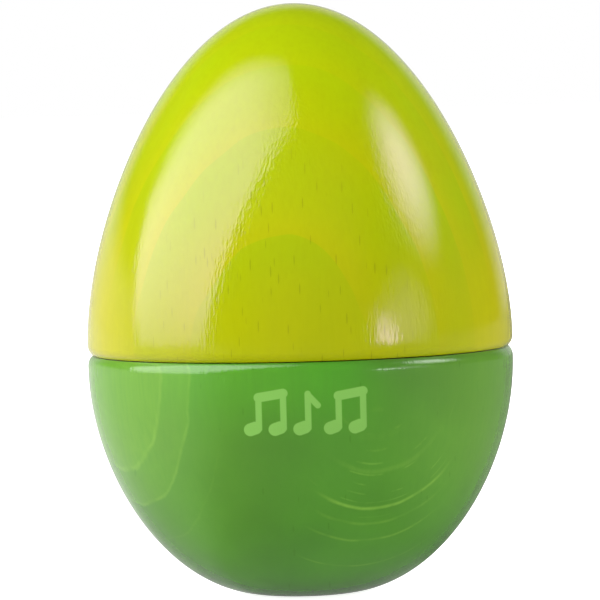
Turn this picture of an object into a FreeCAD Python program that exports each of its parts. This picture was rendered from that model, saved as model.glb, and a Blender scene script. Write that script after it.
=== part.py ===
"""Wooden egg shaker: two turned half shells glued at a spigot joint, with loose steel balls sealed inside.

Frame: millimetres, +Z up along the egg's long axis with the blunt end down. The origin is the middle of the
small flat foot that the egg stands on, and -Y is the front.
"""

import FreeCAD, Part

import math
import os

import Sketcher

doc = FreeCAD.newDocument("egg_shaker")

# ---------------------------------------------------------------- driving sizes, in mm

SIZES = [
    # outside of the egg
    ("egg_height", 62.0),
    ("waist_radius", 22.35),
    ("foot_radius", 4.0),
    ("crown_rise", 12.5),  # how far the side pulls upward before it turns in to the tip
    ("crown_reach", 13.1),  # how far the tip pulls outward before it turns down to the side
    ("belly_drop", 11.9),  # how far the side pulls downward before it turns in to the foot
    ("belly_reach", 14.3),  # radius to which the foot pulls outward before it turns up to the side
    # seam between the halves
    ("seam_height", 25.6),
    ("seam_gap", 0.1),
    ("ease_radius", 1.4),
    ("ease_height", 1.05),
    # glued joint inside the seam
    ("spigot_radius", 15.5),
    ("spigot_length", 4.0),
    ("glue_clearance", 0.05),
    # rattle chamber
    ("chamber_radius", 13.0),
    ("chamber_floor", 7.5),
    ("chamber_corner", 2.0),
    ("dome_base", 40.0),
    ("tool_overrun", 1.0),
    # filling: one layer of balls, in rings round the axis
    ("ball_radius", 2.0),
    ("ball_gap", 0.05),
    ("first_ring", 2.4),
    ("ring_pitch", 4.05),
]

BALLS_PER_RING = (3, 9, 16)
RING_STAGGER = 25.0  # degrees that each ring is turned on from the one inside it

sheet = doc.addObject("Spreadsheet::Sheet", "Sizes")
for row, (alias, value) in enumerate(SIZES, start=1):
    sheet.set(f"A{row}", alias.replace("_", " "))
    sheet.set(f"B{row}", str(value))
    sheet.setAlias(f"B{row}", alias)
doc.recompute()

# Radii and heights that follow from the driving sizes.
WORKED_OUT = [
    ("upper_land", "Sizes.seam_height + Sizes.seam_gap / 2"),
    ("upper_ease", "Sizes.seam_height + Sizes.seam_gap / 2 + Sizes.ease_height"),
    ("crown_pull", "Sizes.seam_height + Sizes.seam_gap / 2 + Sizes.ease_height + Sizes.crown_rise"),
    ("lower_land", "Sizes.seam_height - Sizes.seam_gap / 2"),
    ("lower_ease", "Sizes.seam_height - Sizes.seam_gap / 2 - Sizes.ease_height"),
    ("belly_pull", "Sizes.seam_height - Sizes.seam_gap / 2 - Sizes.ease_height - Sizes.belly_drop"),
    (
        "land_edge",
        "Sizes.waist_radius - Sizes.ease_radius + sqrt(Sizes.ease_radius ^ 2 - Sizes.ease_height ^ 2)",
    ),
    ("ease_centre", "Sizes.waist_radius - Sizes.ease_radius"),
    ("spigot_top", "Sizes.seam_height - Sizes.seam_gap / 2 + Sizes.spigot_length"),
    ("socket_radius", "Sizes.spigot_radius + Sizes.glue_clearance"),
    ("socket_mouth", "Sizes.seam_height - Sizes.tool_overrun"),
    ("chamber_mouth", "Sizes.seam_height + Sizes.spigot_length + Sizes.tool_overrun"),
    ("corner_start", "Sizes.chamber_radius - Sizes.chamber_corner"),
    ("corner_top", "Sizes.chamber_floor + Sizes.chamber_corner"),
    ("dome_top", "Sizes.dome_base + Sizes.chamber_radius"),
]

levels = doc.addObject("App::VarSet", "Levels")
for name, formula in WORKED_OUT:
    levels.addProperty("App::PropertyFloat", name)
    levels.setExpression(name, formula)
doc.recompute()


def size(name):
    """The value in mm of a driving size or of a worked-out one."""
    holder = levels if name in levels.PropertiesList else sheet
    return float(getattr(holder, name))


def path(name):
    """What an expression calls that size."""
    return f"Levels.{name}" if name in levels.PropertiesList else f"Sizes.{name}"


# ---------------------------------------------------------------- half-section sketches

# A half section lies on its body's XZ plane: x is the radius and y is the height. A point is a pair of size
# names, with AXIS for a radius of zero and GROUND for a height of zero.
AXIS = GROUND = "zero"
HORIZONTAL_AXIS, VERTICAL_AXIS = -1, -2
START, END, CENTRE = 1, 2, 3
FULL_TURN = 360.0


def vector(point):
    radius, height = (0.0 if name == "zero" else size(name) for name in point)
    return FreeCAD.Vector(radius, height, 0)


def hold_radius(sketch, geometry, position, name):
    hold(sketch, geometry, position, "DistanceX", VERTICAL_AXIS, name)


def hold_height(sketch, geometry, position, name):
    hold(sketch, geometry, position, "DistanceY", HORIZONTAL_AXIS, name)


def hold(sketch, geometry, position, direction, axis, name):
    """Holds one coordinate of one point: on an axis, or at a distance that the sizes drive."""
    if name == "zero":
        sketch.addConstraint(Sketcher.Constraint("PointOnObject", geometry, position, axis))
        return
    distance = Sketcher.Constraint(direction, HORIZONTAL_AXIS, START, geometry, position, size(name))
    index = sketch.addConstraint(distance)
    sketch.setExpression(f"Constraints[{index}]", path(name))


def straight(sketch, start, end):
    """A straight edge between two corners."""
    edge = sketch.addGeometry(Part.LineSegment(vector(start), vector(end)), False)
    return edge, START, END


def rounded(centre, hold_centre):
    """An arc of less than half a turn between two corners, with one coordinate of its centre held."""

    def edge_between(sketch, start, end):
        middle = vector(centre)
        spokes = [vector(corner) - middle for corner in (start, end)]
        angles = [math.atan2(spoke.y, spoke.x) for spoke in spokes]
        counterclockwise = (angles[1] - angles[0]) % math.tau < math.pi
        if not counterclockwise:
            angles.reverse()
        circle = Part.Circle(middle, FreeCAD.Vector(0, 0, 1), spokes[0].Length)
        edge = sketch.addGeometry(Part.ArcOfCircle(circle, *angles), False)
        hold_centre(sketch, edge, CENTRE, centre[0] if hold_centre is hold_radius else centre[1])
        return (edge, START, END) if counterclockwise else (edge, END, START)

    return edge_between


def swept(first_pull, second_pull):
    """A cubic curve between two corners that leaves each one towards its pull."""

    def edge_between(sketch, start, end):
        poles = [vector(pole) for pole in (start, first_pull, second_pull, end)]
        curve = Part.BSplineCurve(poles, None, None, False, 3, None, False)
        edge = sketch.addGeometry(curve, False)
        first_pole = sketch.GeometryCount
        sketch.exposeInternalGeometry(edge)
        for pole, (radius, height) in ((first_pole + 1, first_pull), (first_pole + 2, second_pull)):
            hold_radius(sketch, pole, CENTRE, radius)
            hold_height(sketch, pole, CENTRE, height)
        return edge, START, END

    return edge_between


def half_section(body, name, *stops):
    """A closed sketch. The stops are a corner, the edge that leaves it, the next corner, and so on round."""
    sketch = body.newObject("Sketcher::SketchObject", name)
    plane = next(face for face in body.Origin.OriginFeatures if face.Role == "XZ_Plane")
    sketch.AttachmentSupport = [(plane, "")]
    sketch.MapMode = "FlatFace"
    corners, edge_makers = stops[0::2], stops[1::2]
    ends = [
        make_edge(sketch, start, end)
        for start, make_edge, end in zip(corners, edge_makers, corners[1:] + corners[:1])
    ]
    for index, (radius, height) in enumerate(corners):
        arriving, _, arriving_end = ends[index - 1]
        leaving, leaving_start, _ = ends[index]
        coincident = Sketcher.Constraint("Coincident", arriving, arriving_end, leaving, leaving_start)
        sketch.addConstraint(coincident)
        hold_radius(sketch, leaving, leaving_start, radius)
        hold_height(sketch, leaving, leaving_start, height)
    return sketch


def turn(body, feature_type, name, section):
    """Revolves a half section right round the egg's axis, to add wood or to cut it away."""
    feature = body.newObject(feature_type, name)
    feature.Profile = section
    feature.ReferenceAxis = (section, ["V_Axis"])
    feature.Angle = FULL_TURN
    doc.recompute()


def new_body(label):
    body = doc.addObject("PartDesign::Body", label)
    body.Label = label
    return body


# ---------------------------------------------------------------- the two turned halves


def upper_shell():
    """The pointed half: solid tip, domed end of the chamber, and the socket that takes the spigot."""
    body = new_body("upper_shell")
    outline = half_section(
        body,
        "upper_outline",
        ("waist_radius", "upper_ease"),
        swept(("waist_radius", "crown_pull"), ("crown_reach", "egg_height")),
        (AXIS, "egg_height"),
        straight,
        (AXIS, "upper_land"),
        straight,
        ("land_edge", "upper_land"),
        rounded(("ease_centre", "upper_ease"), hold_height),
    )
    turn(body, "PartDesign::Revolution", "upper_turning", outline)
    hollow = half_section(
        body,
        "upper_hollow",
        ("chamber_radius", "dome_base"),
        rounded((AXIS, "dome_base"), hold_radius),
        (AXIS, "dome_top"),
        straight,
        (AXIS, "socket_mouth"),
        straight,
        ("socket_radius", "socket_mouth"),
        straight,
        ("socket_radius", "spigot_top"),
        straight,
        ("chamber_radius", "spigot_top"),
        straight,
    )
    return bored(body, "upper_bore", hollow)


def lower_shell():
    """The blunt half: flat foot, flat-bottomed chamber, and the spigot that stands up into the other half."""
    body = new_body("lower_shell")
    outline = half_section(
        body,
        "lower_outline",
        ("waist_radius", "lower_ease"),
        swept(("waist_radius", "belly_pull"), ("belly_reach", GROUND)),
        ("foot_radius", GROUND),
        straight,
        (AXIS, GROUND),
        straight,
        (AXIS, "spigot_top"),
        straight,
        ("spigot_radius", "spigot_top"),
        straight,
        ("spigot_radius", "lower_land"),
        straight,
        ("land_edge", "lower_land"),
        rounded(("ease_centre", "lower_ease"), hold_height),
    )
    turn(body, "PartDesign::Revolution", "lower_turning", outline)
    hollow = half_section(
        body,
        "lower_hollow",
        ("corner_start", "chamber_floor"),
        rounded(("corner_start", "corner_top"), hold_radius),
        ("chamber_radius", "corner_top"),
        straight,
        ("chamber_radius", "chamber_mouth"),
        straight,
        (AXIS, "chamber_mouth"),
        straight,
        (AXIS, "chamber_floor"),
        straight,
    )
    return bored(body, "lower_bore", hollow)


def bored(body, name, hollow):
    """Turns the hollow out of a half, and makes sure that it took wood away."""
    solid_volume = body.Shape.Volume
    turn(body, "PartDesign::Groove", name, hollow)
    if body.Shape.Volume >= solid_volume:
        raise RuntimeError(f"{name} cut nothing")
    return body


# ---------------------------------------------------------------- the loose filling


def steel_balls():
    """One layer of balls on the chamber's floor, each on its own line up to the dome."""
    balls = []
    for ring, count in enumerate(BALLS_PER_RING):
        ring_radius = f"(Sizes.first_ring + {ring} * Sizes.ring_pitch)"
        for place in range(count):
            angle = ring * RING_STAGGER + place * FULL_TURN / count
            label = f"ball_{len(balls) + 1:02d}"
            ball = doc.addObject("Part::Sphere", label)
            ball.Label = label
            ball.setExpression("Radius", "Sizes.ball_radius")
            ball.setExpression("Placement.Base.x", f"{ring_radius} * cos({angle} deg)")
            ball.setExpression("Placement.Base.y", f"{ring_radius} * sin({angle} deg)")
            ball.setExpression(
                "Placement.Base.z", "Sizes.chamber_floor + Sizes.ball_gap + Sizes.ball_radius"
            )
            balls.append(ball)
    doc.recompute()
    return balls


def travel_to_dome(ball):
    """How far a ball can rise before it meets the dome, less the gap that keeps it clear."""
    centre = ball.Placement.Base
    reach = size("chamber_radius") - size("ball_radius") - 2 * size("ball_gap")
    rise = math.sqrt(reach**2 - centre.x**2 - centre.y**2)
    return size("dome_base") + rise - centre.z


# ---------------------------------------------------------------- build, test and write

sub_parts = [upper_shell(), lower_shell(), *steel_balls()]
doc.recompute()

for thing in doc.Objects:
    if {"Invalid", "Error"} & set(thing.State):
        raise RuntimeError(f"{thing.Label} failed: {thing.State}")
for sub_part in sub_parts:
    shape = sub_part.Shape
    if shape.isNull() or not shape.isValid() or len(shape.Solids) != 1:
        raise RuntimeError(f"{sub_part.Label} isn't one valid solid")

os.makedirs("parts", exist_ok=True)
for sub_part in sub_parts:
    sub_part.Shape.exportStep(f"parts/{sub_part.Label}.step")

for sub_part in sub_parts:
    box = sub_part.Shape.optimalBoundingBox()
    travel = f", rises {travel_to_dome(sub_part):.2f}" if sub_part.TypeId == "Part::Sphere" else ""
    print(
        f"{sub_part.Label}: volume {sub_part.Shape.Volume:.1f} mm3, "
        f"height {box.ZMin:.2f} to {box.ZMax:.2f}, width {box.XLength:.2f}{travel}"
    )
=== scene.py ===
# %% [markdown]
# # A stained wooden egg shaker
# The real thing is two turned halves of pale beech, glued at a fine seam, with loose steel balls sealed
# inside. The upper half is dyed lime and the lower half leaf green, and both wear a thick, clear, glossy
# lacquer. The CAD part gives every size, so this notebook only makes it look right: smooth turned shells,
# dyed wood under lacquer, polished balls, and plain studio light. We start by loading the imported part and
# keeping its box.

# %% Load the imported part
import math

import bmesh
import bpy
from mathutils import Matrix, Vector
from mathutils.geometry import interpolate_bezier


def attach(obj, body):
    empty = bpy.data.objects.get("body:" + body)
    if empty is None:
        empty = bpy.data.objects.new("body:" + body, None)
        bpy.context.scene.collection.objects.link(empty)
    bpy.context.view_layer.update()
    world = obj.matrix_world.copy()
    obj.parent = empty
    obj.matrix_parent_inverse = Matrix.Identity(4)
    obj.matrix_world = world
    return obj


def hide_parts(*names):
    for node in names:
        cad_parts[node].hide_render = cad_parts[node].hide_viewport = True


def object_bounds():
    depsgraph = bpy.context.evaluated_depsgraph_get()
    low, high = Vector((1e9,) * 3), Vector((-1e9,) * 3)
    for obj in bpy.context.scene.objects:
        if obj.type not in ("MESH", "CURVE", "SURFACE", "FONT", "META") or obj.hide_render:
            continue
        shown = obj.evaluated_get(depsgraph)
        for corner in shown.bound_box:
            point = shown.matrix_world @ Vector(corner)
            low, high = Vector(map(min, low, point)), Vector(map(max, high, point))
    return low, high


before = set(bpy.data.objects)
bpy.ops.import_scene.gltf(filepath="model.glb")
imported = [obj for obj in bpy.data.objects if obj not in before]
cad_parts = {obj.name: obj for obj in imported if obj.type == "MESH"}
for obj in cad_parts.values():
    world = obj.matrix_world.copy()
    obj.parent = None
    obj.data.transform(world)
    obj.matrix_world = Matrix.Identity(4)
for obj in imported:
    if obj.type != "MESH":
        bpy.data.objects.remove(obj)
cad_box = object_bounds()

MM = 0.001
scene = bpy.context.scene
print("CAD box in mm:", [[round(x / MM, 2) for x in corner] for corner in cad_box])

# %% [markdown]
# ## The camera
# Something this small is best seen from about half a metre through a long lens, nearly level, so the seam
# shows as a shallow smile. The camera is turned by a degree and a half about its own axis, which leans the
# egg a little to the left. A camera looks along its own -Z, so it is first tipped up by a right angle less
# its height angle, then rolled about its own line of sight.

# %% Camera
CAMERA_DISTANCE = 0.55
CAMERA_RISE = math.radians(2.776)
CAMERA_ROLL = math.radians(1.49)
VIEW_WIDTH = 63.1 * MM  # how much of the scene fits across the view at the egg

egg_middle = (cad_box[0] + cad_box[1]) / 2
camera_data = bpy.data.cameras.new("product_camera")
camera = bpy.data.objects.new("product_camera", camera_data)
scene.collection.objects.link(camera)
scene.camera = camera
camera_data.lens = camera_data.sensor_width * CAMERA_DISTANCE / VIEW_WIDTH
camera_data.shift_x = 0.0017
camera_data.shift_y = -0.0029
line_of_sight = Vector((0, math.cos(CAMERA_RISE), -math.sin(CAMERA_RISE)))
tip = Matrix.Rotation(math.pi / 2 - CAMERA_RISE, 4, "X") @ Matrix.Rotation(-CAMERA_ROLL, 4, "Z")
camera.matrix_world = Matrix.Translation(egg_middle - CAMERA_DISTANCE * line_of_sight) @ tip
print("lens in mm:", round(camera_data.lens, 1))

# %% [markdown]
# ## Small helpers for node trees
# Every material here is built from nodes. One helper adds a node, sets it and wires its inputs in one call.
# The others stand on it: they do sums, fade a value smoothly, lay colours over each other, and start or
# place a node group, so an effect that several finishes share is built once. Writing these first keeps each
# finish below down to the idea behind it.

# %% Node helpers
def node(tree, kind, inputs=None, **settings):
    """Add one node. inputs maps a socket's name or number to a value, or to the output that feeds it."""
    made = tree.nodes.new(kind)
    for name, value in settings.items():
        setattr(made, name, value)
    for socket, value in (inputs or {}).items():
        if isinstance(value, bpy.types.NodeSocket):
            tree.links.new(value, made.inputs[socket])
        else:
            made.inputs[socket].default_value = value
    return made


def maths(tree, operation, *values, clamp=False):
    """The result of one Math node."""
    inputs = dict(enumerate(values))
    return node(tree, "ShaderNodeMath", inputs, operation=operation, use_clamp=clamp).outputs[0]


def times(tree, first, *others):
    """Several values multiplied together."""
    for value in others:
        first = maths(tree, "MULTIPLY", first, value)
    return first


def vector_maths(tree, operation, *values):
    """The Vector Math node itself, because its answer may be its vector or its value."""
    return node(tree, "ShaderNodeVectorMath", dict(enumerate(values)), operation=operation)


def axes(tree, position):
    """The X, Y and Z of a position."""
    return node(tree, "ShaderNodeSeparateXYZ", {0: position}).outputs


def smooth_step(tree, value, low, high, to_low=0.0, to_high=1.0):
    """value moved smoothly from to_low at low to to_high at high."""
    inputs = {"Value": value, "From Min": low, "From Max": high, "To Min": to_low, "To Max": to_high}
    return node(tree, "ShaderNodeMapRange", inputs, interpolation_type="SMOOTHSTEP").outputs["Result"]


def noise(tree, position, scale, detail, roughness=0.5):
    """Soft noise between 0 and 1."""
    inputs = {"Vector": position, "Scale": scale, "Detail": detail, "Roughness": roughness}
    return node(tree, "ShaderNodeTexNoise", inputs).outputs[0]


# %% Colour helpers
def rgb(red, green, blue):
    """An opaque colour."""
    return (red, green, blue, 1.0)


def mix_colour(tree, share, first, second):
    """Two colours mixed: share 0 gives the first and 1 gives the second."""
    return node(tree, "ShaderNodeMix", {0: share, 6: first, 7: second}, data_type="RGBA").outputs[2]


def layered(tree, colour, *layers):
    """A colour with others laid over it in turn, each by its share."""
    for share, over in layers:
        colour = mix_colour(tree, share, colour, over)
    return colour


# %% Node group helpers
VECTOR_SOCKETS = ("Position", "Growth Direction")  # every other socket is a number


def new_group(name, inputs, outputs):
    """An empty node group with its sockets, and its two end nodes."""
    tree = bpy.data.node_groups.new(name, "ShaderNodeTree")
    for labels, end in ((inputs, "INPUT"), (outputs, "OUTPUT")):
        for label in labels:
            kind = "NodeSocketVector" if label in VECTOR_SOCKETS else "NodeSocketFloat"
            tree.interface.new_socket(label, in_out=end, socket_type=kind)
    return tree, tree.nodes.new("NodeGroupInput").outputs, tree.nodes.new("NodeGroupOutput").inputs


def use_group(tree, group, inputs):
    """Place a node group in a tree."""
    return node(tree, "ShaderNodeGroup", inputs, node_tree=group).outputs


def in_mm(tree, position):
    """A position in millimetres."""
    return node(tree, "ShaderNodeVectorMath", {0: position, "Scale": 1 / MM}, operation="SCALE").outputs[0]

# %% [markdown]
# ## What turned beech looks like
# The blank is sawn with its grain along the egg's axis, so three things show through the dye. Growth rings
# are near flat sheets in such a small piece, and the curved surface cuts them into nested arches. Medullary
# rays end on the face that looks along the growth direction, as short dark dashes along the grain. Fibres
# and fine pores make faint vertical streaks. An image could hold all three, but it would stretch at the
# tip. A solid pattern that reads the position inside the wood meets the surface as real wood does, so each
# one is a group on Object coordinates.

# %% Growth rings
rings, ring_in, ring_out = new_group(
    "growth_rings", ("Position", "Growth Direction", "First Ring", "Spacing", "Wander"), ("Phase", "Depth")
)
place = in_mm(rings, ring_in["Position"])
wander = maths(rings, "SUBTRACT", noise(rings, place, 0.09, 2.0, 0.45), 0.5)
wander = maths(rings, "MULTIPLY", wander, ring_in["Wander"])
depth = vector_maths(rings, "DOT_PRODUCT", place, ring_in["Growth Direction"]).outputs["Value"]
depth = maths(rings, "ADD", depth, wander)
phase = maths(rings, "DIVIDE", maths(rings, "SUBTRACT", depth, ring_in["First Ring"]), ring_in["Spacing"])
rings.links.new(maths(rings, "FRACT", phase), ring_out["Phase"])
rings.links.new(depth, ring_out["Depth"])
print("growth rings:", len(rings.nodes), "nodes")

# %% Ray dashes
RAY_REACH = 40 * MM  # how far one ray runs inward

rays, ray_in, ray_out = new_group("ray_dashes", ("Position", "Width", "Length", "Share"), ("Mask",))
# One cell for each ray: cells are as wide and tall as the room that a ray has, and most of them stay empty.
apart = axes(rays, ray_in["Position"])
across = maths(rays, "DIVIDE", maths(rays, "DIVIDE", apart["X"], MM), ray_in["Width"])
along = maths(rays, "DIVIDE", maths(rays, "DIVIDE", apart["Z"], MM), ray_in["Length"])
inward = maths(rays, "DIVIDE", apart["Y"], RAY_REACH)
cell = node(rays, "ShaderNodeCombineXYZ", {0: across, 1: inward, 2: along}).outputs[0]
spot = node(rays, "ShaderNodeTexVoronoi", {"Vector": cell, "Scale": 1.0, "Randomness": 0.9}).outputs
lot = node(rays, "ShaderNodeSeparateColor", {0: spot["Color"]}).outputs[0]
chosen = maths(rays, "LESS_THAN", lot, ray_in["Share"])
dash = smooth_step(rays, spot["Distance"], 0.22, 0.12)
rays.links.new(maths(rays, "MULTIPLY", dash, chosen), ray_out["Mask"])
print("ray dashes:", len(rays.nodes), "nodes")

# %% Fibre streaks
fibre, fibre_in, fibre_out = new_group("fibre_streaks", ("Position", "Across", "Along"), ("Value",))
apart = axes(fibre, in_mm(fibre, fibre_in["Position"]))
grain_size = [fibre_in[way] for way in ("Across", "Across", "Along")]
stretched = {i: maths(fibre, "DIVIDE", apart[i], size) for i, size in enumerate(grain_size)}
stretched = node(fibre, "ShaderNodeCombineXYZ", stretched).outputs[0]
fibre.links.new(noise(fibre, stretched, 1.0, 3.0, 0.55), fibre_out["Value"])
print("fibre streaks:", len(fibre.nodes), "nodes")

# %% [markdown]
# ## How the lacquer lies
# Lacquer sinks a little along the grain as it dries, most where the growth rings lie flat under the
# surface, so the edges of reflections break into fine upright streaks there. A slow swell from sanding by
# hand bends them more gently. Real geometry that fine would need millions of faces, so a height in
# millimetres goes to a Bump node.

# %% Lacquer height
lacquer, lacquer_in, lacquer_out = new_group("lacquer_height", ("Position", "Streak Share"), ("Height",))


def relief(across, along, detail, height):
    """Bumps about zero whose grains are across by along mm, and height mm from top to bottom."""
    per_grain = (1 / across / MM, 1 / across / MM, 1 / along / MM)
    scaled = vector_maths(lacquer, "MULTIPLY", lacquer_in["Position"], per_grain).outputs[0]
    about_zero = maths(lacquer, "SUBTRACT", noise(lacquer, scaled, 1.0, detail), 0.5)
    return maths(lacquer, "MULTIPLY", about_zero, height)


broad_grain = relief(0.8, 9.0, 2.0, 0.014)
fine_grain = relief(0.25, 1.5, 1.0, 0.019)
swell = relief(5.0, 7.0, 1.0, 0.05)
orange_peel = relief(0.9, 0.7, 1.0, 0.004)
sunk_grain = maths(lacquer, "ADD", broad_grain, fine_grain)
sunk_grain = maths(lacquer, "MULTIPLY", sunk_grain, lacquer_in["Streak Share"])
total_relief = maths(lacquer, "ADD", maths(lacquer, "ADD", sunk_grain, swell), orange_peel)
lacquer.links.new(total_relief, lacquer_out["Height"])

# %% Lacquer coat
LACQUER_ROUGHNESS = 0.11
LACQUER_IOR = 1.5


def lacquered(tree, shader, position, streak_share):
    """The clear glossy coat: its height bends the shader's normal."""
    height = use_group(tree, lacquer, {"Position": position, "Streak Share": streak_share})["Height"]
    bump = node(tree, "ShaderNodeBump", {"Height": height, "Distance": MM, "Strength": 1.0})
    tree.links.new(bump.outputs["Normal"], shader.inputs["Normal"])
    shader.inputs["Roughness"].default_value = LACQUER_ROUGHNESS
    shader.inputs["IOR"].default_value = LACQUER_IOR


print("node groups:", [group.name for group in bpy.data.node_groups])

# %% [markdown]
# ## The printed mark
# A maker prints a small mark in pale ink under the lacquer. Here it is a plain row of music notes. It could
# be a thin raised piece, but ink has no thickness that a hand can feel, so it is a mask in the lower half's
# finish: the distance to each note head, stem and beam is worked out with a few sums, and the nearest
# counts.

# %% Distance to a bar
NOTE_MIDDLE_X = 0.6  # mm from the egg's middle
NOTE_FOOT_Z = 18.9  # mm above the foot, where the note heads sit

notes, notes_in, notes_out = new_group("music_notes", ("Position",), ("Mask",))
apart = axes(notes, notes_in["Position"])
note_x = maths(notes, "SUBTRACT", maths(notes, "DIVIDE", apart["X"], MM), NOTE_MIDDLE_X)
note_z = maths(notes, "SUBTRACT", maths(notes, "DIVIDE", apart["Z"], MM), NOTE_FOOT_Z)


def bar(x0, z0, x1, z1, half_width):
    """Distance in mm to a straight bar with round ends."""
    run, rise = x1 - x0, z1 - z0
    length_squared = run**2 + rise**2
    dx = maths(notes, "SUBTRACT", note_x, x0)
    dz = maths(notes, "SUBTRACT", note_z, z0)
    upward = maths(notes, "MULTIPLY", dz, rise / length_squared)
    reach = maths(notes, "MULTIPLY_ADD", dx, run / length_squared, upward)
    reach = maths(notes, "ADD", reach, 0.0, clamp=True)
    off_x = maths(notes, "MULTIPLY_ADD", reach, -run, dx)
    off_z = maths(notes, "MULTIPLY_ADD", reach, -rise, dz)
    away = maths(notes, "MULTIPLY_ADD", off_x, off_x, maths(notes, "MULTIPLY", off_z, off_z))
    return maths(notes, "SUBTRACT", maths(notes, "SQRT", away), half_width)


# %% Music notes
HEAD_HALF_HEIGHT = 0.66
STEM_HALF_WIDTH = 0.32
BEAM_HALF_WIDTH = 0.48
STEM_FROM_HEAD = 0.62  # how far a stem stands to the right of its head's middle
PAIR_WIDTH = 2.5
EDGE_SOFTNESS = 0.05


def head(x):
    """Distance in mm to a slanted oval note head."""
    return bar(x - 0.26, -0.08, x + 0.26, 0.1, HEAD_HALF_HEIGHT)


def single_note(x):
    """A head, its stem and its flag."""
    stem = x + STEM_FROM_HEAD
    flag = bar(stem, 3.4, stem + 1.0, 2.3, STEM_HALF_WIDTH)
    return [head(x), bar(stem, 0, stem, 3.5, STEM_HALF_WIDTH), flag]


def paired_notes(x):
    """Two heads with their stems, joined by a rising beam."""
    left = x + STEM_FROM_HEAD
    right = left + PAIR_WIDTH
    stems = [bar(left, 0, left, 3.3, STEM_HALF_WIDTH), bar(right, 0, right, 3.7, STEM_HALF_WIDTH)]
    return [head(x), head(x + PAIR_WIDTH), bar(left, 3.2, right, 3.6, BEAM_HALF_WIDTH), *stems]


parts = paired_notes(-5.6) + single_note(-0.6) + paired_notes(2.5)
nearest = parts[0]
for distance in parts[1:]:
    nearest = maths(notes, "MINIMUM", nearest, distance)
printed = smooth_step(notes, nearest, EDGE_SOFTNESS, -EDGE_SOFTNESS)
front_side = maths(notes, "LESS_THAN", apart["Y"], 0.0)
notes.links.new(maths(notes, "MULTIPLY", printed, front_side), notes_out["Mask"])
print("strokes in the printed mark:", len(parts))

# %% [markdown]
# ## Lime dye under lacquer
# The upper half is dyed a transparent lime, so the wood's figure shows through as small shifts of colour:
# each growth ring starts greener and fades to yellow. The lacquer could be a second clear coat in the
# shader, but a single glossy layer over the colour looks the same with less noise.

# %% Start of a material
def start_material(name):
    """A material with an empty tree, its shader, and a position on the piece."""
    material = bpy.data.materials.new(name)
    material.use_nodes = True
    tree = material.node_tree
    tree.nodes.clear()
    shader = node(tree, "ShaderNodeBsdfPrincipled")
    node(tree, "ShaderNodeOutputMaterial", {"Surface": shader.outputs[0]})
    position = node(tree, "ShaderNodeTexCoord").outputs["Object"]
    return material, tree, shader, position


def direction(azimuth):
    """A level direction: 0 degrees is the front, -Y, and 90 is +X."""
    turn = math.radians(azimuth)
    return (math.sin(turn), -math.cos(turn), 0.0)


# %% Lime-stained wood
BLANK = {"Growth Direction": direction(-5), "First Ring": 20.4, "Spacing": 4.4, "Wander": 1.2}  # depths in mm
FIBRE_SIZE = {"Across": 0.5, "Along": 7.0}
LIME_YOUNG = rgb(0.277, 0.360, 0.001)  # where a ring starts
LIME_OLD = rgb(0.362, 0.363, 0.001)  # where it ends
# painted light: the lime is lighter and greener towards the tip, and painted shade makes it darker towards
# the seam, as light from above falls
LIME_TIP_PAINTED_LIGHT = rgb(0.342, 0.452, 0.001)
LIME_FOOT_PAINTED_SHADE = rgb(0.295, 0.315, 0.001)
LIME_CLOUD = rgb(0.355, 0.35, 0.001)
LIME_SIDE = rgb(0.395, 0.370, 0.001)  # yellower where the sheets stand edge-on
LIME_DASH = rgb(0.15, 0.17, 0.003)
LIME_STREAK = rgb(0.25, 0.29, 0.001)

lime_stained, tree, shader, position = start_material("lime_dyed_beech")
figure = use_group(tree, rings, {"Position": position, **BLANK})
dashes = use_group(tree, rays, {"Position": position, "Width": 0.42, "Length": 3.4, "Share": 0.55})["Mask"]
streaks = use_group(tree, fibre, {"Position": position, **FIBRE_SIZE})["Value"]
cloud = noise(tree, position, 70.0, 2.0)
apart = axes(tree, position)
height = apart["Z"]
beside = smooth_step(tree, maths(tree, "ABSOLUTE", apart["X"]), 15 * MM, 21 * MM, 0.0, 0.8)
facing_front = smooth_step(tree, figure["Depth"], 15.5, 19.5)

colour = mix_colour(tree, maths(tree, "POWER", figure["Phase"], 2.2), LIME_YOUNG, LIME_OLD)
colour = layered(
    tree,
    colour,
    # painted light towards the tip, painted shade towards the seam
    (smooth_step(tree, height, 34 * MM, 60 * MM, 0.0, 0.7), LIME_TIP_PAINTED_LIGHT),
    (smooth_step(tree, height, 42 * MM, 27 * MM, 0.0, 0.8), LIME_FOOT_PAINTED_SHADE),
    (smooth_step(tree, cloud, 0.4, 0.75, 0.0, 0.4), LIME_CLOUD),
    (maths(tree, "MULTIPLY", beside, smooth_step(tree, height, 46 * MM, 32 * MM)), LIME_SIDE),
    (times(tree, dashes, facing_front, 0.42), LIME_DASH),
    (smooth_step(tree, streaks, 0.35, 0.75, 0.0, 0.15), LIME_STREAK),
)
tree.links.new(colour, shader.inputs["Base Color"])
lacquered(tree, shader, position, smooth_step(tree, figure["Depth"], 10.0, 18.0, 0.1, 1.0))
shader.inputs["Specular Tint"].default_value = rgb(1.0, 0.6, 1.0)  # the yellow coat greys its own highlights
print(lime_stained.name, "nodes:", len(tree.nodes))

# %% [markdown]
# ## Green dye and print
# The lower half's dye is a denser leaf green. Its growth rings take less dye, so they show as thin pale
# lines. The blank comes from a place where the rings turn a corner, so there are two sets of sheets: one
# faces the front and a little to the right, and the other faces the left side. A line shows where a sheet
# of a chosen depth meets the surface, which is simpler than drawing each curve, and it bends as the egg
# does.

# %% Pale lines in the green half
FRONT_AZIMUTH, SIDE_AZIMUTH = 22, -64
FRONT_RINGS = [(21.5, 0.2), (20.4, 0.25), (18.6, 0.85), (17.6, 0.35), (16.3, 0.5), (13.6, 0.4)]
FRONT_RINGS += [(-12.9, 0.4), (-15.7, 0.5), (-18.2, 0.6), (-20.6, 0.3)]  # the same set comes out at the back
SIDE_RINGS = [(20.4, 0.42), (18.7, 0.38), (16.2, 0.12)]  # each is a depth in mm and a strength

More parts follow.
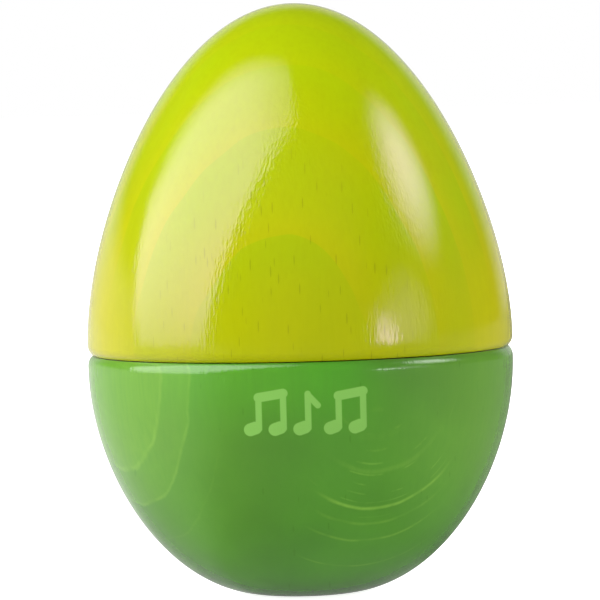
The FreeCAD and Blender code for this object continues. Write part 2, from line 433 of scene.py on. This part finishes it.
green_stained, tree, shader, position = start_material("green_dyed_beech")
at_place = {"Position": position, "Wander": 0.5}
front_depth, side_depth = (
    use_group(tree, rings, {**at_place, "Growth Direction": direction(azimuth)})["Depth"]
    for azimuth in (FRONT_AZIMUTH, SIDE_AZIMUTH)
)
breaks = noise(tree, position, 330.0, 3.0)
height = axes(tree, position)["Z"]


def ring_lines(depth, lines, fade_start, fade_end, across, waver):
    """Thin pale lines where rings of given depth and strength meet the surface, fading away sideways.

    waver is how many mm the lines stray."""
    total = 0.0
    unsteady = maths(tree, "MULTIPLY_ADD", maths(tree, "SUBTRACT", breaks, 0.5), waver, depth)
    for ring_depth, strength in lines:
        off = maths(tree, "ABSOLUTE", maths(tree, "SUBTRACT", unsteady, ring_depth))
        total = maths(tree, "MAXIMUM", smooth_step(tree, off, 0.14, 0.02, 0.0, strength), total)
    fade = smooth_step(tree, maths(tree, "ABSOLUTE", across), fade_start, fade_end)
    return maths(tree, "MULTIPLY", total, fade)


front_lines = ring_lines(front_depth, FRONT_RINGS, 8.2, 4.5, side_depth, 0.15)
front_lines = maths(tree, "MULTIPLY", front_lines, smooth_step(tree, height, 20 * MM, 14 * MM))
side_lines = ring_lines(side_depth, SIDE_RINGS, 17.0, 12.0, front_depth, 0.5)
lines = maths(tree, "MAXIMUM", front_lines, side_lines)
lines = maths(tree, "MULTIPLY", lines, smooth_step(tree, breaks, 0.3, 0.6, 0.25, 1.0))
print("ring lines:", len(FRONT_RINGS) + len(SIDE_RINGS))

# %% Short broken bands
# Where the sheets lie nearly flat under the surface, each ring's fine bands show as short broken lines.
BAND_SPACING = 0.22  # mm

bands = times(
    tree,
    smooth_step(tree, maths(tree, "PINGPONG", front_depth, BAND_SPACING), 0.05, 0.01, 0.0, 0.5),
    smooth_step(tree, front_depth, 17.0, 20.0),
    smooth_step(tree, breaks, 0.52, 0.66),
    smooth_step(tree, height, 22 * MM, 17 * MM),
    smooth_step(tree, maths(tree, "ABSOLUTE", side_depth), 9.5, 5.0),
)
lines = maths(tree, "MAXIMUM", lines, bands)

# %% Where the green is paler
paler_left = smooth_step(tree, side_depth, 5.0, 18.5, 0.0, 0.3)
for ring_depth, _ in SIDE_RINGS[:2]:
    step = smooth_step(tree, side_depth, ring_depth - 0.15, ring_depth + 0.05, 0.0, 0.28)
    paler_left = maths(tree, "ADD", paler_left, step)
paler_right = smooth_step(tree, side_depth, 6.0, -14.0, 0.0, 0.58)
paler_right = maths(tree, "MULTIPLY", paler_right, smooth_step(tree, height, 4 * MM, 17 * MM))
paler = maths(tree, "MAXIMUM", paler_left, paler_right)
# By the seam on the left and front the green is lighter and richer: partly a real change in the dye, partly
# painted light falling from above.
seam_dye_and_light = smooth_step(tree, height, 16 * MM, 25 * MM, 0.0, 0.6)
seam_dye_and_light = maths(tree, "MULTIPLY", seam_dye_and_light, smooth_step(tree, side_depth, -1.0, 8.0))

# %% Green-stained wood
GREEN_DEEP = rgb(0.050, 0.150, 0.021)
GREEN_LIGHT = rgb(0.070, 0.214, 0.024)
GREEN_SEAM_DYE_AND_LIGHT = rgb(0.058, 0.278, 0.014)  # lighter, richer green by the seam: partly a real change in the dye, partly painted light from above
GREEN_PALE = rgb(0.121, 0.275, 0.026)  # paler, towards both sides
GREEN_LINE = rgb(0.23, 0.44, 0.06)
GREEN_STREAK = rgb(0.06, 0.19, 0.02)
GREEN_DASH = rgb(0.04, 0.12, 0.01)
PALE_INK = rgb(0.174, 0.385, 0.075)

cloud = noise(tree, position, 60.0, 2.0)
dashes = use_group(tree, rays, {"Position": position, "Width": 0.6, "Length": 2.4, "Share": 0.1})["Mask"]
streaks = use_group(tree, fibre, {"Position": position, **FIBRE_SIZE})["Value"]
printed = use_group(tree, notes, {"Position": position})["Mask"]
colour = mix_colour(tree, smooth_step(tree, cloud, 0.3, 0.7), GREEN_DEEP, GREEN_LIGHT)
colour = layered(
    tree,
    colour,
    # partly dye, partly painted light from above
    (seam_dye_and_light, GREEN_SEAM_DYE_AND_LIGHT),
    (paler, GREEN_PALE),
    (maths(tree, "MULTIPLY", lines, 0.55), GREEN_LINE),
    (smooth_step(tree, streaks, 0.35, 0.75, 0.0, 0.2), GREEN_STREAK),
    (maths(tree, "MULTIPLY", dashes, 0.25), GREEN_DASH),
    (maths(tree, "MULTIPLY", printed, 0.95), PALE_INK),
)
tree.links.new(colour, shader.inputs["Base Color"])
facing_front = smooth_step(tree, front_depth, 8.0, 18.0, 0.1, 0.6)
on_eased_edge = smooth_step(tree, height, 22.5 * MM, 24.3 * MM, 0.0, 1.3)
lacquered(tree, shader, position, maths(tree, "MAXIMUM", facing_front, on_eased_edge))
print(green_stained.name, "nodes:", len(tree.nodes))

# %% [markdown]
# ## Bare beech inside
# The chamber, the socket and the spigot were never dyed or lacquered. They are pale pinkish-brown beech
# with a dull cut surface. The rings and the ray dashes that give the dyed wood its figure give this its
# figure too.

# %% Bare beech
BEECH_YOUNG = rgb(0.53, 0.34, 0.19)
BEECH_OLD = rgb(0.61, 0.42, 0.25)
BEECH_DASH = rgb(0.33, 0.17, 0.08)

bare_beech, tree, shader, position = start_material("bare_beech")
figure = use_group(tree, rings, {"Position": position, **BLANK})
dashes = use_group(tree, rays, {"Position": position, "Width": 0.55, "Length": 4.2, "Share": 0.3})["Mask"]
colour = mix_colour(tree, figure["Phase"], BEECH_YOUNG, BEECH_OLD)
colour = layered(tree, colour, (maths(tree, "MULTIPLY", dashes, 0.6), BEECH_DASH))
tree.links.new(colour, shader.inputs["Base Color"])
shader.inputs["Roughness"].default_value = 0.65
print(bare_beech.name, "nodes:", len(tree.nodes))

# %% [markdown]
# ## Turning the shells
# Each half is turned on a lathe, and spinning a section round the axis is the same act. A CAD mesh would
# do, but its flat facets break the long reflections that show off the lacquer, so the same curves are spun
# again in fine steps. The section is drawn in two parts, the dyed outside and the bare inside, so each gets
# its own finish.

# %% Section helpers
def curve_points(start, pull_start, pull_end, end, steps):
    """Points along a Bezier curve in the XZ plane, from radius and height in mm."""
    as_vectors = [Vector((r * MM, 0, z * MM)) for r, z in (start, pull_start, pull_end, end)]
    return interpolate_bezier(*as_vectors, steps + 1)


def arc_points(centre, radius, first, last, steps):
    """Points along a circle's arc: angles in degrees from the outward direction."""
    r, z = centre
    angles = [math.radians(first + (last - first) * i / steps) for i in range(steps + 1)]
    return [Vector(((r + radius * math.cos(a)) * MM, 0, (z + radius * math.sin(a)) * MM)) for a in angles]


def corners(*places):
    """Points at radius and height in mm."""
    return [Vector((r * MM, 0, z * MM)) for r, z in places]


# %% Spinning helpers
SPIN_STEPS = 240
SHARP_ANGLE = math.radians(30)
SAME_PLACE = 0.0001 * MM


def spin_outline(bm, points, finish):
    """Spin one open outline round the axis. The faces get that finish's number."""
    before = set(bm.faces)
    verts = []
    for point in points:
        if not verts or (point - verts[-1].co).length > SAME_PLACE:
            verts.append(bm.verts.new(point))
    edges = [bm.edges.new(pair) for pair in zip(verts, verts[1:])]
    full_turn = {"cent": (0, 0, 0), "axis": (0, 0, 1), "angle": math.tau, "use_merge": True}
    bmesh.ops.spin(bm, geom=verts + edges, steps=SPIN_STEPS, **full_turn)
    for face in set(bm.faces) - before:
        face.material_index = finish


def turned_shell(name, outside, inside, finish, replaced):
    """A closed turned shell with its dyed outside and bare inside."""
    bm = bmesh.new()
    spin_outline(bm, outside, 0)
    spin_outline(bm, inside, 1)
    bmesh.ops.remove_doubles(bm, verts=bm.verts, dist=SAME_PLACE)
    bmesh.ops.dissolve_degenerate(bm, edges=bm.edges, dist=SAME_PLACE / 10)
    bmesh.ops.recalc_face_normals(bm, faces=bm.faces)
    for face in bm.faces:
        face.smooth = True
    for edge in bm.edges:
        edge.smooth = not edge.is_manifold or edge.calc_face_angle() < SHARP_ANGLE
    open_edges = sum(not edge.is_manifold for edge in bm.edges)
    volume = bm.calc_volume() / MM**3
    mesh = bpy.data.meshes.new(name)
    bm.to_mesh(mesh)
    bm.free()
    for material in (finish, bare_beech):
        mesh.materials.append(material)
    shell = bpy.data.objects.new(name, mesh)
    scene.collection.objects.link(shell)
    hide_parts(replaced)
    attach(shell, "egg")
    print(name, "faces:", len(mesh.polygons), "open edges:", open_edges, "volume in mm3:", round(volume))


# %% Turn both halves
EGG_HEIGHT, WAIST, FOOT = 62, 22.35, 4  # mm: the height, and the radius at the waist and at the foot
EASE_RADIUS = 1.4
EASE_REACH = 1.05  # how high the eased edge runs
EASE_ANGLE = math.degrees(math.asin(EASE_REACH / EASE_RADIUS))
EASE_CENTRE = WAIST - EASE_RADIUS
UPPER_WAIST, LOWER_WAIST = 26.7, 24.5  # heights where the eased edges start
UPPER_SEAM, LOWER_SEAM = UPPER_WAIST - EASE_REACH, LOWER_WAIST + EASE_REACH
SPIGOT, SOCKET, CHAMBER = 15.5, 15.55, 13.0  # radii
GLUE_FACE, DOME_START = 29.55, 40
CHAMBER_FLOOR, CORNER_RADIUS = 7.5, 2
CORNER_TOP = CHAMBER_FLOOR + CORNER_RADIUS

upper_outside = curve_points((0, EGG_HEIGHT), (13.1, EGG_HEIGHT), (WAIST, 39.2), (WAIST, UPPER_WAIST), 110)
upper_outside += arc_points((EASE_CENTRE, UPPER_WAIST), EASE_RADIUS, 0, -EASE_ANGLE, 12)
upper_outside += corners((SOCKET, UPPER_SEAM))
upper_inside = corners((SOCKET, UPPER_SEAM), (SOCKET, GLUE_FACE), (CHAMBER, GLUE_FACE), (CHAMBER, DOME_START))
upper_inside += arc_points((0, DOME_START), CHAMBER, 0, 90, 24)
turned_shell("upper_half", upper_outside, upper_inside, lime_stained, "upper_shell")

lower_outside = corners((0, 0), (FOOT, 0))
lower_outside += curve_points((FOOT, 0), (14.3, 0), (WAIST, 12.6), (WAIST, LOWER_WAIST), 90)
lower_outside += arc_points((EASE_CENTRE, LOWER_WAIST), EASE_RADIUS, 0, EASE_ANGLE, 12)
lower_outside += corners((SPIGOT, LOWER_SEAM))
lower_inside = corners((SPIGOT, LOWER_SEAM), (SPIGOT, GLUE_FACE), (CHAMBER, GLUE_FACE), (CHAMBER, CORNER_TOP))
lower_inside += arc_points((CHAMBER - CORNER_RADIUS, CORNER_TOP), CORNER_RADIUS, 0, -90, 8)
lower_inside += corners((0, CHAMBER_FLOOR))
turned_shell("lower_half", lower_outside, lower_inside, green_stained, "lower_shell")

# %% [markdown]
# ## Polished balls
# The rattle comes from 4 mm bearing balls: hardened steel, ground and polished, with a few hair-fine
# scratches from knocking together. The CAD balls are round enough as they are, so they stay and only get
# this finish.

# %% Polished steel
polished_steel, tree, shader, position = start_material("polished_steel")
scuffs = noise(tree, position, 900.0, 4.0)
shader.inputs["Base Color"].default_value = rgb(0.74, 0.74, 0.76)
shader.inputs["Metallic"].default_value = 1.0
tree.links.new(smooth_step(tree, scuffs, 0.45, 0.75, 0.08, 0.28), shader.inputs["Roughness"])
balls = [piece for name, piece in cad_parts.items() if name.startswith("ball_")]
for ball in balls:
    ball.material_slots[0].material = polished_steel
print("balls:", len(balls))

# %% [markdown]
# ## Studio light
# The lacquer shows what is round it, so the lights are placed by what they draw on the egg. One large
# softbox leans over from the upper left and draws the long pane on the left side. A round dish at the upper
# right, brightest in its middle, draws the drop-shaped pane, and a low card at the front right, with a
# dimmer spill round it, draws a small soft square. Area lights would be simpler, but their faces are evenly
# bright with hard edges, so these are glowing sheets whose brightness falls off as a real diffuser's does.
# The camera doesn't see them.

# %% Aiming helpers
LIGHT_DISTANCE = 1.5


def towards(azimuth, height):
    """The direction from the egg's middle, at an azimuth and a height angle in degrees."""
    level = Vector(direction(azimuth)) * math.cos(math.radians(height))
    return level + Vector((0, 0, math.sin(math.radians(height))))


def aim(light, place, faces):
    """Put a light at a place seen from the egg's middle, its -Z the way that it faces and its X level."""
    back = -Vector(faces).normalized()
    level = Vector((0, 0, 1)).cross(back).normalized()
    turn = Matrix((level, back.cross(level), back)).transposed().to_4x4()
    light.matrix_world = Matrix.Translation(egg_middle + Vector(place)) @ turn


# %% Glowing sheets
def glowing_sheet(name, bm, place, faces, radiance, falloff):
    """A flat sheet that glows. falloff gives its brightness from its own Object coordinates in metres."""
    mesh = bpy.data.meshes.new(name)
    bm.to_mesh(mesh)
    bm.free()
    sheet = bpy.data.objects.new(name, mesh)
    scene.collection.objects.link(sheet)
    aim(sheet, place, faces)
    sheet.visible_camera = False
    sheet.visible_shadow = False
    glow = bpy.data.materials.new(name)
    glow.use_nodes = True
    tree = glow.node_tree
    tree.nodes.clear()
    spot = node(tree, "ShaderNodeTexCoord").outputs["Object"]
    strength = maths(tree, "MULTIPLY", falloff(tree, spot), radiance)
    emission = node(tree, "ShaderNodeEmission", {"Color": rgb(1, 1, 1), "Strength": strength})
    node(tree, "ShaderNodeOutputMaterial", {"Surface": emission.outputs[0]})
    mesh.materials.append(glow)
    print(name, "radiance:", radiance)


def round_sheet(name, azimuth, height, half_angle, radiance, squash=1.0, core=0.1):
    """A round sheet as wide as it looks from the egg, brightest in its middle."""
    radius = LIGHT_DISTANCE * math.tan(math.radians(half_angle))
    bm = bmesh.new()
    bmesh.ops.create_circle(bm, cap_ends=True, segments=48, radius=radius)
    bmesh.ops.scale(bm, vec=(1, squash, 1), verts=bm.verts)

    def falloff(tree, spot):
        round_spot = vector_maths(tree, "MULTIPLY", spot, (1, 1 / squash, 1)).outputs[0]
        out = vector_maths(tree, "LENGTH", round_spot).outputs["Value"]
        return smooth_step(tree, out, core * radius, radius, 1.0, 0.0)

    place = towards(azimuth, height) * LIGHT_DISTANCE
    glowing_sheet(name, bm, place, -place, radiance, falloff)


# %% Key softbox
# The softbox's corners on its own sheet, in metres: it flares at its lower front and its back edge leans in.
KEY_LOWER = [(-0.42, -1.0), (-0.66, -0.3), (-0.58, 0.1), (-0.48, 0.5)]
KEY_UPPER = [(-0.12, 1.06), (0.7, 1.16), (0.7, -0.3), (0.93, -1.0)]
bm = bmesh.new()
bm.faces.new([bm.verts.new((x, y, 0)) for x, y in KEY_LOWER + KEY_UPPER])
bmesh.ops.recalc_face_normals(bm, faces=bm.faces)


def key_falloff(tree, spot):
    """Dimmer at both ends and along the leaning back edge."""
    apart = axes(tree, spot)
    lower_end = smooth_step(tree, apart["Y"], -1.3, -0.3, 0.45, 1.0)
    upper_end = smooth_step(tree, apart["Y"], 0.25, 1.15, 1.0, 0.4)
    from_back_edge = maths(tree, "MULTIPLY_ADD", apart["Y"], -0.45, apart["X"])
    return times(tree, lower_end, upper_end, smooth_step(tree, from_back_edge, -0.64, -0.28))


glowing_sheet("key_softbox", bm, (-0.83, -0.255, 0.67), (1, 0, -1), 4.8, key_falloff)

# %% Right dish and low card
CARD_WIDTH, CARD_HEIGHT = 0.38, 0.36

round_sheet("right_dish", 85, 34, 19.5, 7.3)
round_sheet("low_card_spill", 60, 5, 21, 1.7, squash=0.8)

bm = bmesh.new()
bmesh.ops.create_grid(bm, x_segments=1, y_segments=1, size=0.5)
bmesh.ops.scale(bm, vec=(CARD_WIDTH, CARD_HEIGHT, 1), verts=bm.verts)


def card_falloff(tree, spot):
    """Brightest low down in the middle."""
    apart = axes(tree, spot)
    upright = smooth_step(tree, apart["Y"], 0.5 * CARD_HEIGHT, -0.35 * CARD_HEIGHT, 0.1, 1.0)
    sideways = maths(tree, "ABSOLUTE", apart["X"])
    return times(tree, upright, smooth_step(tree, sideways, 0.55 * CARD_WIDTH, 0.2 * CARD_WIDTH, 0.1, 1.0))


card_place = towards(47.5, 5) * LIGHT_DISTANCE
glowing_sheet("low_card", bm, card_place, -card_place, 8.5, card_falloff)

# %% [markdown]
# ## Fill light
# The shaded sides need light that leaves no shape in the lacquer, because the room in front of the egg is
# dark. Four broad area lights do it, hidden from reflections: two for the front and right, and two that
# wash the back.

# %% Fill lights
FILL_DISTANCE = 2.0


def fill_light(name, direction_to, side, radiance):
    """A square area light. Its power comes from how bright its face is."""
    data = bpy.data.lights.new(name, "AREA")
    data.size = side
    data.energy = radiance * math.pi * side**2
    light = bpy.data.objects.new(name, data)
    scene.collection.objects.link(light)
    aim(light, direction_to * FILL_DISTANCE, -direction_to)
    light.visible_camera = False
    light.visible_glossy = False
    print(name, "watts:", round(data.energy, 1))


fill_light("front_fill", towards(5, 20), 2.4, 0.95)
fill_light("right_fill", towards(85, 5), 2.0, 3.0)
fill_light("back_left_wash", towards(-130, 5), 2.4, 2.0)
fill_light("back_right_wash", towards(140, 5), 2.4, 1.6)

# %% [markdown]
# ## Room and floor
# A white sweep behind the egg gives the thin pale rim at its edges, and the rest of the room is dim. The
# world shader does both by direction, and shows plain white to the camera. The floor is plain and pale. It
# glows a little for the camera, so it stays white where the light falls off. The lacquer mirrors the floor
# as well. A lit sweep is bright towards the back and dim under the egg and in front, so the mirrored floor
# is given its brightness by place.

# %% World
world = bpy.data.worlds.new("studio")
scene.world = world
world.use_nodes = True
tree = world.node_tree
tree.nodes.clear()
looking = axes(tree, node(tree, "ShaderNodeTexCoord").outputs["Generated"])
sweep = smooth_step(tree, looking["Y"], 0.72, 0.92, 0.04, 0.6)
near_horizon = smooth_step(tree, maths(tree, "ABSOLUTE", looking["Z"]), 0.25, 0.1)
to_back_left = smooth_step(tree, maths(tree, "SUBTRACT", looking["Y"], looking["X"]), 0.9, 1.3)
low_band = times(tree, near_horizon, to_back_left, 0.75)
camera_ray = node(tree, "ShaderNodeLightPath").outputs["Is Camera Ray"]
strength = maths(tree, "MAXIMUM", maths(tree, "MAXIMUM", sweep, low_band), camera_ray)
background = node(tree, "ShaderNodeBackground", {"Color": rgb(1, 1, 1), "Strength": strength})
node(tree, "ShaderNodeOutputWorld", {"Surface": background.outputs[0]})
print("world nodes:", len(tree.nodes))

# %% Floor
FLOOR_SIZE = 8
FLOOR_DROP = 0.1 * MM  # so that the foot's flat face doesn't lie in the same plane

bpy.ops.mesh.primitive_plane_add(size=FLOOR_SIZE)
floor = bpy.context.object
floor.location.z = -FLOOR_DROP
floor.name = "floor"
pale_floor = bpy.data.materials.new("pale_floor")
pale_floor.use_nodes = True
floor.data.materials.append(pale_floor)
tree = pale_floor.node_tree
tree.nodes.clear()
on_floor = node(tree, "ShaderNodeTexCoord").outputs["Object"]
from_egg = vector_maths(tree, "LENGTH", on_floor).outputs["Value"]
print("floor in metres:", FLOOR_SIZE)

# %% What the lacquer mirrors of the floor
away = axes(tree, vector_maths(tree, "NORMALIZE", on_floor).outputs[0])
leftward = maths(tree, "MULTIPLY_ADD", away["Y"], 0.5, maths(tree, "MULTIPLY", away["X"], -1.0))
rightward = maths(tree, "MULTIPLY_ADD", away["Y"], 0.5, away["X"])
left_glow = smooth_step(tree, leftward, 0.1, 0.8, 0.06, 0.86)
right_glow = smooth_step(tree, rightward, 0.1, 0.8, 0.05, 0.28)
far_glow = maths(tree, "MAXIMUM", left_glow, right_glow)
far_glow = maths(tree, "MULTIPLY", far_glow, smooth_step(tree, from_egg, 0.0, 0.06, 0.5, 1.0))
near_glow = smooth_step(tree, from_egg, 0.025, 0.010, 0.0, 0.3)
brightest = maths(tree, "MAXIMUM", far_glow, near_glow)
mirrored = node(tree, "ShaderNodeEmission", {"Color": rgb(1, 1, 1), "Strength": brightest})

# %% What everything else sees of the floor
LEAST_GLOW = 0.2

ray = node(tree, "ShaderNodeLightPath").outputs
paint = node(tree, "ShaderNodeBsdfDiffuse", {"Color": rgb(0.8, 0.8, 0.8)})
for_camera = maths(tree, "MULTIPLY", smooth_step(tree, from_egg, 0.05, 0.25, 0.9, 1.0), ray["Is Camera Ray"])
glow_strength = maths(tree, "MAXIMUM", for_camera, LEAST_GLOW)
glow = node(tree, "ShaderNodeEmission", {"Color": rgb(1, 1, 1), "Strength": glow_strength})
both = node(tree, "ShaderNodeAddShader", {0: paint.outputs[0], 1: glow.outputs[0]})
seen_by_ray = {0: ray["Is Glossy Ray"], 1: both.outputs[0], 2: mirrored.outputs[0]}
seen = node(tree, "ShaderNodeMixShader", seen_by_ray)
node(tree, "ShaderNodeOutputMaterial", {"Surface": seen.outputs[0]})
scene.view_settings.view_transform = "Standard"
print("floor nodes:", len(tree.nodes))
